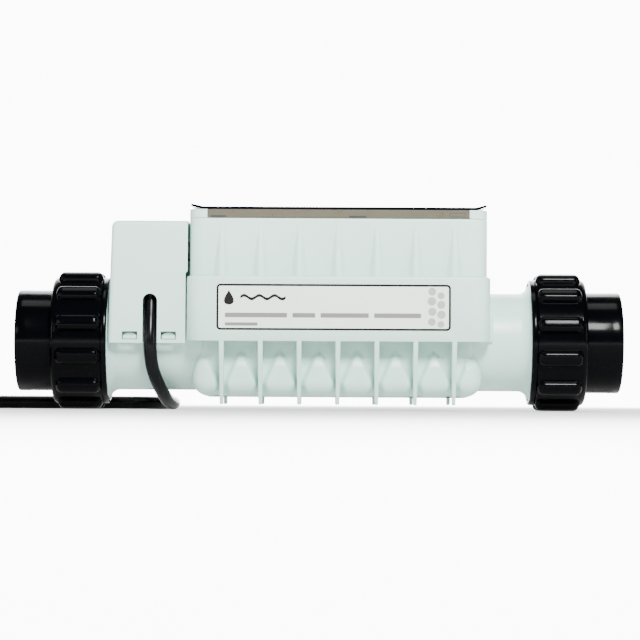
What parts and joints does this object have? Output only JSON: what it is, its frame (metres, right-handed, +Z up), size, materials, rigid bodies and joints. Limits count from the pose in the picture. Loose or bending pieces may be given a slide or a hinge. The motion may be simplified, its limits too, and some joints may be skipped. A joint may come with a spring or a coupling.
{
  "type": "salt chlorine generator",
  "caption": "In-line pool salt cell with a ribbed body, electronics box, sensor cover, union nuts with slip tailpieces, and a coiled power lead with a round plug.",
  "frame": {"origin": "on the surface that both union nuts stand on, under the middle of the part", "axes": "+X along the water flow from inlet to outlet, -Y the labelled front, +Z up"},
  "size_m": [0.672, 0.181, 0.1545],
  "materials": {
    "shell": "satin moulded, faint cool tint",
    "cover": "fine satin moulding",
    "seal": "smooth",
    "stainless": "passivated",
    "lens": "smoked, translucent",
    "overlay": "polished sheet",
    "label": "printed film",
    "resin": "cast",
    "board": "solder mask",
    "component": "moulded",
    "brass": "turned",
    "led": "clear",
    "titanium": "coated mesh sheet",
    "comb": "moulded",
    "sensor": "moulded",
    "cord_jacket": "extruded, slightly glossy",
    "black_fitting": "moulded",
    "strap": "hook and loop",
    "union": "glossy moulded",
    "button": "soft touch"
  },
  "bodies": {
    "cell": {"cell_body": "shell", "electronics_housing": "shell", "housing_gasket": "seal", "top_bezel": "shell", "bezel_screws": "stainless", "display_lens": "lens", "display_overlay": "overlay", "label_plate": "label", "potting_resin": "resin", "circuit_board": "board", "power_components": "component", "board_standoffs": "brass", "display_board": "board", "status_leds": "led", "switch_domes": "stainless", "sensor_header": "component", "electrode_plates": "titanium", "plate_combs": "comb", "bus_bars": "titanium", "terminal_rods": "titanium", "terminal_seals": "seal", "terminal_nuts": "brass", "end_o_rings": "seal", "flow_sensor": "sensor", "sensor_o_ring": "seal", "sensor_cap": "sensor", "sensor_screws": "stainless", "reed_switch": "led", "temperature_probe": "stainless", "paddle_pin": "stainless", "sensor_cable": "cord_jacket", "cable_grommet": "seal", "cord_gland": "black_fitting", "gland_nut": "black_fitting", "strain_relief": "cord_jacket", "power_cord": "cord_jacket", "cord_coil": "cord_jacket", "cord_tie": "strap", "connector_body": "black_fitting", "connector_pins": "brass", "connector_boot": "cord_jacket"},
    "inlet_tail": {"inlet_tailpiece": "union"},
    "inlet_nut": {"inlet_union_nut": "union"},
    "outlet_tail": {"outlet_tailpiece": "union"},
    "outlet_nut": {"outlet_union_nut": "union"},
    "cover": {"sensor_cover": "cover"},
    "button_more": {"more_button": "button"},
    "button_less": {"less_button": "button"},
    "button_info": {"info_button": "button"},
    "paddle": {"flow_paddle": "comb", "paddle_magnet": "stainless"}
  },
  "joints": [
    {"name": "inlet_tail_slide", "type": "slide", "parent": "cell", "child": "inlet_tail", "axis": [-1, 0, 0], "range_m": [0, 0.0181]},
    {"name": "inlet_nut_turn", "type": "hinge", "parent": "inlet_tail", "child": "inlet_nut", "pos_m": [-0.18, 0, 0.05249], "axis": [-1, 0, 0], "range_deg": [0, 1620]},
    {"name": "outlet_tail_slide", "type": "slide", "parent": "cell", "child": "outlet_tail", "axis": [1, 0, 0], "range_m": [0, 0.0181]},
    {"name": "outlet_nut_turn", "type": "hinge", "parent": "outlet_tail", "child": "outlet_nut", "pos_m": [0.18, 0, 0.05249], "axis": [1, 0, 0], "range_deg": [0, 1620]},
    {"name": "cover_lift", "type": "slide", "parent": "cell", "child": "cover", "axis": [0, 0, 1], "range_m": [0, 0.1]},
    {"name": "more_press", "type": "slide", "parent": "cell", "child": "button_more", "axis": [0, 0, -1], "range_m": [0, 0.0008], "stiffness_N_per_m": 900},
    {"name": "less_press", "type": "slide", "parent": "cell", "child": "button_less", "axis": [0, 0, -1], "range_m": [0, 0.0008], "stiffness_N_per_m": 900},
    {"name": "info_press", "type": "slide", "parent": "cell", "child": "button_info", "axis": [0, 0, -1], "range_m": [0, 0.0008], "stiffness_N_per_m": 900},
    {"name": "paddle_swing", "type": "hinge", "parent": "cell", "child": "paddle", "pos_m": [-0.127, 0, 0.074], "axis": [0, -1, 0], "range_deg": [0, 25], "stiffness_Nm_per_rad": 0.004}
  ],
  "couplings": [
    {"joint": "inlet_tail_slide", "follows": "inlet_nut_turn", "m_per_rad": 0.00063662},
    {"joint": "outlet_tail_slide", "follows": "outlet_nut_turn", "m_per_rad": 0.00063662}
  ]
}
